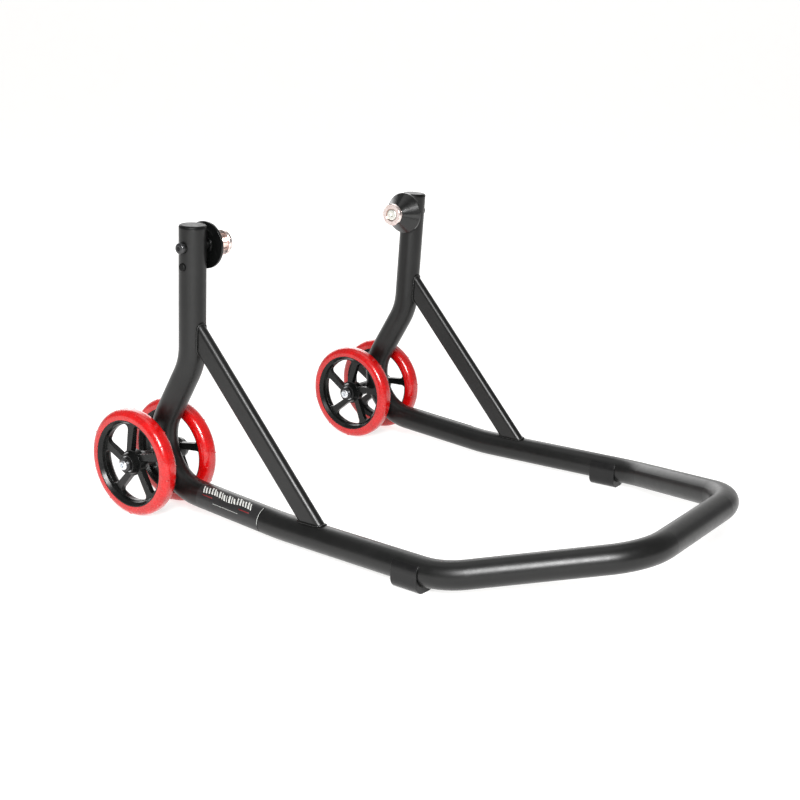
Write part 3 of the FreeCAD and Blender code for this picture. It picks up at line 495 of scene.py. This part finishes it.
def add_tyre_marks(wheel):
    """Small moulded ridges across the tread, left by the mould's vents."""
    low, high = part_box("tyre_" + wheel)
    centre = Vector(((low.x + high.x) / 2, axle_y * MM, axle_z * MM))
    wheel_r = (high.z - low.z) / 2
    outward = -1.0 if wheel.startswith("left") else 1.0
    facing = outward if wheel.endswith("outer") else -outward
    edge_r = TREAD_ROUND * MM
    half_w = (high.x - low.x) / 2
    verts, faces = [], []
    for k in range(9):
        for face in (facing, -facing):
            turn = math.radians(40.0 * k + (13.0 if face > 0 else 27.0) + 5.0 * math.sin(2.3 * k))
            radial = Vector((0.0, math.cos(turn), math.sin(turn)))
            around = Vector((0.0, -math.sin(turn), math.cos(turn)))
            ring = len(verts)
            steps = 9
            for j in range(steps):
                share = j / (steps - 1)
                sweep = math.radians(18.0 + 34.0 * share)
                out = Vector((face * math.sin(sweep), 0.0, 0.0)) + radial * math.cos(sweep)
                arc_centre = centre + Vector((face * (half_w - edge_r), 0.0,
                                              0.0)) + radial * (wheel_r - edge_r)
                lean = around * (1.2 * MM * (share - 0.5))
                swell = math.sin(math.pi * (0.08 + 0.84 * share)) ** 0.6
                for s in range(6):
                    angle = math.pi * s / 5.0
                    side = around * (1.05 * MM * swell * math.cos(angle))
                    lift = out * (edge_r - 0.15 * MM + 0.85 * MM * swell * math.sin(angle))
                    verts.append(arc_centre + lean + side + lift)
            for j in range(steps - 1):
                for s in range(5):
                    a = ring + j * 6 + s
                    faces.append((a, a + 1, a + 7, a + 6))
    return add_piece("tyre_marks_" + wheel, mesh_from("tyre_marks_" + wheel, verts, faces),
                     MATERIALS["tyre_red"], "wheel_" + wheel)


# ---------------------------------------------------------------- the label's generic stripes

INK_SILVER = printed("ink_silver", (0.62, 0.63, 0.60), (0.40, 0.41, 0.40), 0.25)
INK_RED = printed("ink_red", (0.16, 0.006, 0.008), (0.09, 0.005, 0.006), 0.0)


class RailSurface:
    """Places points on the label by distance along the rail from its handle end and angle round it."""

    def __init__(self, sign):
        self.direction = (HEEL - LEVEL).normalized()
        self.side = Vector((sign, 0.0, 0.0))
        self.up = Vector((0.0, -self.direction.z, self.direction.y))
        start_z = LEVEL.z + (LABEL_START - LEVEL.y) * (HEEL.z - LEVEL.z) / (HEEL.y - LEVEL.y)
        self.start = Vector((sign * RAIL_X, LABEL_START, start_z))

    def point(self, along, angle, lift):
        reach = TUBE_R + LABEL_OUTSIDE + lift
        out = self.side * math.cos(angle) + self.up * math.sin(angle)
        return (self.start + self.direction * along + out * reach) * MM


def add_decals(name, surface, shapes, material, body):
    """Thin raised prints: each shape is four corners (along, degrees up) in order round it."""
    verts, faces = [], []
    for corners in shapes:
        columns = 4
        rows = math.ceil((corners[2][1] - corners[1][1]) / 5.0) + 1
        for lift in (0.05, -0.03):
            for i in range(columns + 1):
                for j in range(rows + 1):
                    u, v = i / columns, j / rows
                    low = [a + (b - a) * u for a, b in zip(corners[0], corners[1])]
                    high = [a + (b - a) * u for a, b in zip(corners[3], corners[2])]
                    along, angle = [a + (b - a) * v for a, b in zip(low, high)]
                    verts.append(surface.point(along, math.radians(angle), lift))
        size = (columns + 1) * (rows + 1)
        base = len(verts) - 2 * size

        def at(layer, i, j):
            return base + layer * size + i * (rows + 1) + j

        for i in range(columns):
            for j in range(rows):
                faces.append((at(0, i, j), at(0, i + 1, j), at(0, i + 1, j + 1), at(0, i, j + 1)))
        rim = [(i, 0) for i in range(columns)] + [(columns, j) for j in range(rows)]
        rim += [(i, rows) for i in range(columns, 0, -1)] + [(0, j) for j in range(rows, 0, -1)]
        for (i, j), (p, q) in zip(rim, rim[1:] + rim[:1]):
            faces.append((at(0, i, j), at(0, p, q), at(1, p, q), at(1, i, j)))
    return add_piece(name, mesh_from(name, verts, faces), material, body)


def add_label_print(side_name, sign):
    surface = RailSurface(sign)
    bars = []
    along = 15.0
    for k in range(19):
        wide = 1.3 + 1.7 * abs(math.sin(1.7 * k + 0.4))
        low = 41.0 + 4.0 * math.sin(0.55 * k)
        high = low + 22.0 + 10.0 * abs(math.sin(0.9 * k + 0.8))
        lean = 4.5
        bars.append(((along, low), (along + wide, low), (along + wide + lean, high), (along + lean, high)))
        along += wide + 2.1
    add_decals("label_bars_" + side_name, surface, bars, INK_SILVER, "stand")
    thin = [((0.4, -8.0), (1.0, -8.0), (1.0, 74.0), (0.4, 74.0))]
    for k in range(22):
        spot = 34.0 + 2.0 * k
        thin.append(((spot, 8.0), (spot + 1.25, 8.0), (spot + 1.25, 10.0), (spot, 10.0)))
    add_decals("label_dashes_" + side_name, surface, thin, INK_SILVER, "stand")
    red = [
        ((80.0, 28.0), (98.0, 28.0), (98.0, 32.0), (80.0, 32.0)),
        ((16.0, 26.0), (34.0, 26.0), (34.0, 30.0), (16.0, 30.0)),
    ]
    add_decals("label_red_" + side_name, surface, red, INK_RED, "stand")


for side_name, sign in SIDES.items():
    add_brace_welds(side_name, sign)
    add_bush_weld(side_name, sign)
    add_label_print(side_name, sign)
for wheel in WHEELS:
    add_tyre_marks(wheel)


# ---------------------------------------------------------------- floor, light and camera

def add_floor():
    """A pale sweep: flat under and around the stand, curving up far behind it."""
    verts, faces = [], []
    profile = [(-6.0, 0.0), (4.5, 0.0)]
    for k in range(1, 13):
        angle = math.pi / 2 * k / 12
        profile.append((4.5 + 2.5 * math.sin(angle), 2.5 - 2.5 * math.cos(angle)))
    profile.append((7.0, 7.0))
    for across in (-9.0, 9.0):
        for along, height in profile:
            verts.append(Vector((across, along, height)))
    count = len(profile)
    for k in range(count - 1):
        faces.append((k, k + 1, count + k + 1, count + k))
    mesh = mesh_from("floor_sweep", verts, faces)
    for polygon in mesh.polygons:
        polygon.use_smooth = True
    floor = bpy.data.objects.new("floor_sweep", mesh)
    bpy.context.scene.collection.objects.link(floor)
    floor.rotation_euler = (0.0, 0.0, -math.radians(YAW))
    s = Surface("floor_paper")
    s.fixed(Specular_IOR_Level=0.1, Emission_Color=(1.0, 0.995, 0.985, 1.0), Emission_Strength=0.7)
    s.colour(s.tones(s.noise(60.0, 3.0, 0.5), (0.3, (0.56, 0.557, 0.553)), (0.7, (0.58, 0.577, 0.573))))
    s.rough(s.noise(20.0, 2.0, 0.5), 0.75, 0.85)
    s.bump(s.noise(3.0, 2.0, 0.5), 0.02)
    mesh.materials.append(s.material)


def add_softbox(name, place, target, wide, high, watts):
    data = bpy.data.lights.new(name, "AREA")
    data.shape = "RECTANGLE"
    data.size = wide
    data.size_y = high
    data.energy = watts
    lamp = bpy.data.objects.new(name, data)
    bpy.context.scene.collection.objects.link(lamp)
    lamp.location = place
    lamp.rotation_mode = "QUATERNION"
    lamp.rotation_quaternion = (Vector(target) - Vector(place)).to_track_quat("-Z", "Y")
    return lamp


YAW, PITCH, ROLL = 53.939, 15.422, -1.005


def add_camera():
    yaw, pitch, roll = (math.radians(v) for v in (YAW, PITCH, ROLL))
    look = Vector((math.sin(yaw) * math.cos(pitch), math.cos(yaw) * math.cos(pitch), -math.sin(pitch)))
    level = Vector((math.cos(yaw), -math.sin(yaw), 0.0))
    down = look.cross(level)
    right = level * math.cos(roll) + down * math.sin(roll)
    below = down * math.cos(roll) - level * math.sin(roll)
    data = bpy.data.cameras.new("camera")
    data.sensor_width = 36.0
    data.lens = 59.62
    data.clip_end = 60.0
    camera = bpy.data.objects.new("camera", data)
    bpy.context.scene.collection.objects.link(camera)
    turn = Matrix((right, -below, -look)).transposed()
    camera.matrix_world = Matrix.Translation((-1.40977, -0.95409, 0.62271)) @ turn.to_4x4()
    bpy.context.scene.camera = camera


add_floor()
add_softbox("light_key", (-1.60, -0.95, 1.15), (-0.1, -0.05, 0.1), 0.66, 0.66, 58.0)
add_softbox("light_second", (-1.55, -0.60, 1.50), (-0.2, 0.1, 0.15), 0.4, 0.4, 13.0)
add_softbox("light_overhead", (0.1, 0.5, 2.4), (0.0, 0.0, 0.0), 1.6, 1.6, 7.0)
add_softbox("light_back", (2.3, 2.7, 1.5), (0.0, 0.0, 0.1), 3.0, 2.0, 42.0)
add_camera()

world = bpy.data.worlds.new("studio")
world.use_nodes = True
background = next(n for n in world.node_tree.nodes if n.type == "BACKGROUND")
background.inputs["Color"].default_value = (1.0, 1.0, 1.0, 1.0)
background.inputs["Strength"].default_value = 0.3
scene = bpy.context.scene
scene.world = world
scene.view_settings.view_transform = "Standard"
scene.view_settings.look = "None"
